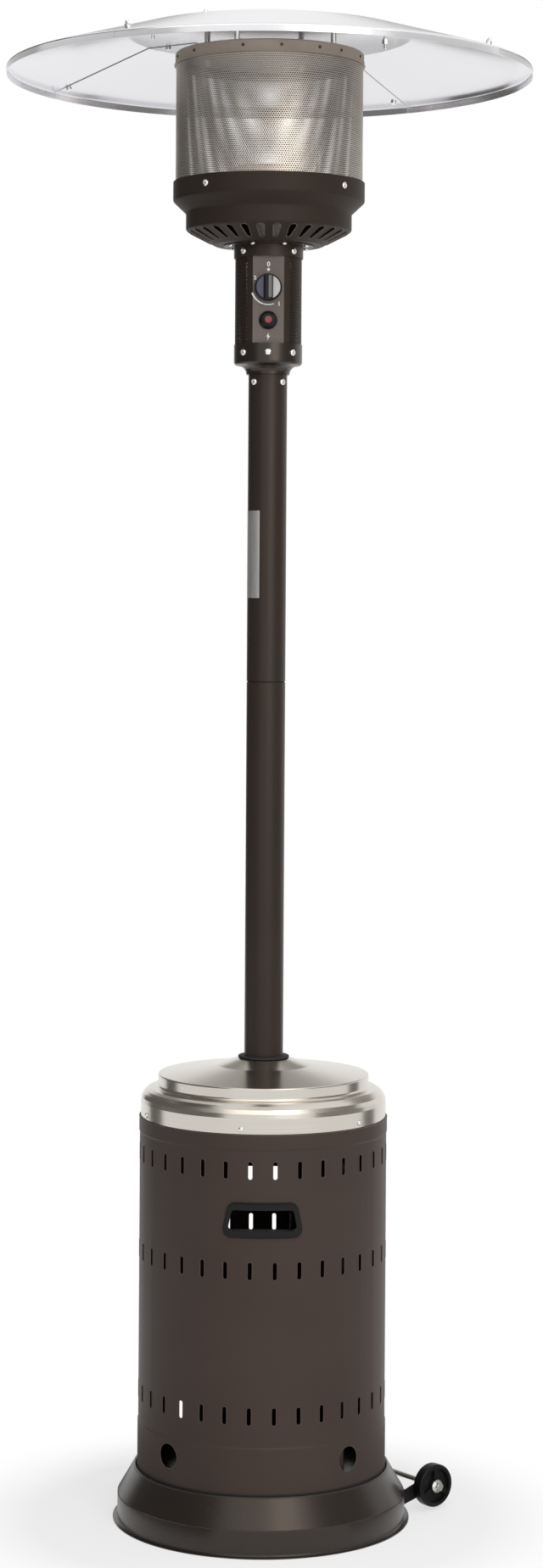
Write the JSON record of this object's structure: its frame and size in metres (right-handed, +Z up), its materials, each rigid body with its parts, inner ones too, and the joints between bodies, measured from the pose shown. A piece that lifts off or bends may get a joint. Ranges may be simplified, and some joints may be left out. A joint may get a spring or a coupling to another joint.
{
  "type": "mushroom patio heater",
  "caption": "Standing gas patio heater with a wheeled base, slotted lift-up cover, pole, control knob, perforated emitter and a wide panelled reflector.",
  "frame": {"origin": "on the floor under the pole, at the centre of the base", "axes": "+Z up along the pole, -Y towards the control panel, +X to the viewer's right"},
  "size_m": [0.815, 0.815, 2.3139],
  "materials": {
    "bronze_paint": "satin bronze powder coat",
    "panel_paint": "satin grey-brown paint",
    "dome_steel": "brushed",
    "emitter_steel": "perforated, satin",
    "reflector_metal": "bright mirror",
    "zinc": "bright zinc",
    "brass": "machined",
    "black_plastic": "gloss",
    "red_plastic": "gloss",
    "black_rubber": "matte",
    "black_steel": "satin black"
  },
  "bodies": {
    "stand": {"base": "bronze_paint", "wheel_bracket": "black_steel", "bracket_bolts": "zinc", "wheel_axle": "zinc", "axle_nuts": "zinc", "support_post_1": "bronze_paint", "support_post_2": "bronze_paint", "support_post_3": "bronze_paint", "post_bolts": "zinc", "pole_flange": "bronze_paint", "flange_bolts": "zinc", "lower_pole": "bronze_paint", "pole_foot_screws": "zinc", "upper_pole": "bronze_paint", "gas_pipe": "brass", "gas_inlet": "brass", "neck_cup": "bronze_paint", "neck_screws": "zinc", "side_screen": "bronze_paint", "housing_collar": "bronze_paint", "housing_screws": "zinc", "control_panel": "panel_paint", "gas_valve": "brass", "igniter_bezel": "black_plastic", "piezo_unit": "black_plastic", "tilt_switch": "black_plastic", "burner_tube": "emitter_steel", "burner_bowl": "bronze_paint", "bowl_floor_screws": "zinc", "burner_deck": "emitter_steel", "burner_cup": "emitter_steel", "pilot_assembly": "brass", "ring_screws": "zinc", "emitter_screen": "emitter_steel", "emitter_cap": "emitter_steel", "cap_rivets": "zinc", "reflector_standoffs": "zinc", "standoff_nuts": "zinc", "reflector_panel_1": "reflector_metal", "reflector_panel_2": "reflector_metal", "reflector_panel_3": "reflector_metal", "reflector_panel_4": "reflector_metal", "reflector_hub": "reflector_metal", "seam_bolts": "zinc", "wing_nuts": "zinc", "hub_bolts": "zinc", "hub_nuts": "zinc", "stud_wing_nuts": "zinc"},
    "tank_cover": {"tank_housing": "bronze_paint", "dome": "dome_steel", "dome_screws": "zinc", "front_grip_frame": "black_plastic", "rear_grip_frame": "black_plastic", "pole_grommet": "black_rubber"},
    "near_wheel": {"near_wheel": "black_plastic"},
    "far_wheel": {"far_wheel": "black_plastic"},
    "valve_plug": {"valve_plug": "brass"},
    "knob": {"valve_stem": "zinc", "control_knob": "black_plastic"},
    "igniter_button": {"igniter_button": "red_plastic"}
  },
  "joints": [
    {"name": "cover_lift", "type": "slide", "parent": "stand", "child": "tank_cover", "axis": [0, 0, 1], "range_m": [0, 0.45]},
    {"name": "near_wheel_spin", "type": "hinge", "parent": "stand", "child": "near_wheel", "pos_m": [0.26871, 0.03989, 0.037], "axis": [0.6157, -0.788, 0], "continuous": true},
    {"name": "far_wheel_spin", "type": "hinge", "parent": "stand", "child": "far_wheel", "pos_m": [0.10371, 0.25107, 0.037], "axis": [0.6157, -0.788, 0], "continuous": true},
    {"name": "knob_turn", "type": "hinge", "parent": "stand", "child": "valve_plug", "pos_m": [0, -0.02, 1.9004], "axis": [0, -1, 0], "range_deg": [0, 210]},
    {"name": "knob_push", "type": "slide", "parent": "valve_plug", "child": "knob", "axis": [0, 1, 0], "range_m": [0, 0.003], "stiffness_N_per_m": 600, "springref_m": -0.005},
    {"name": "igniter_push", "type": "slide", "parent": "stand", "child": "igniter_button", "axis": [0, 1, 0], "range_m": [0, 0.006], "stiffness_N_per_m": 800, "springref_m": -0.004}
  ]
}
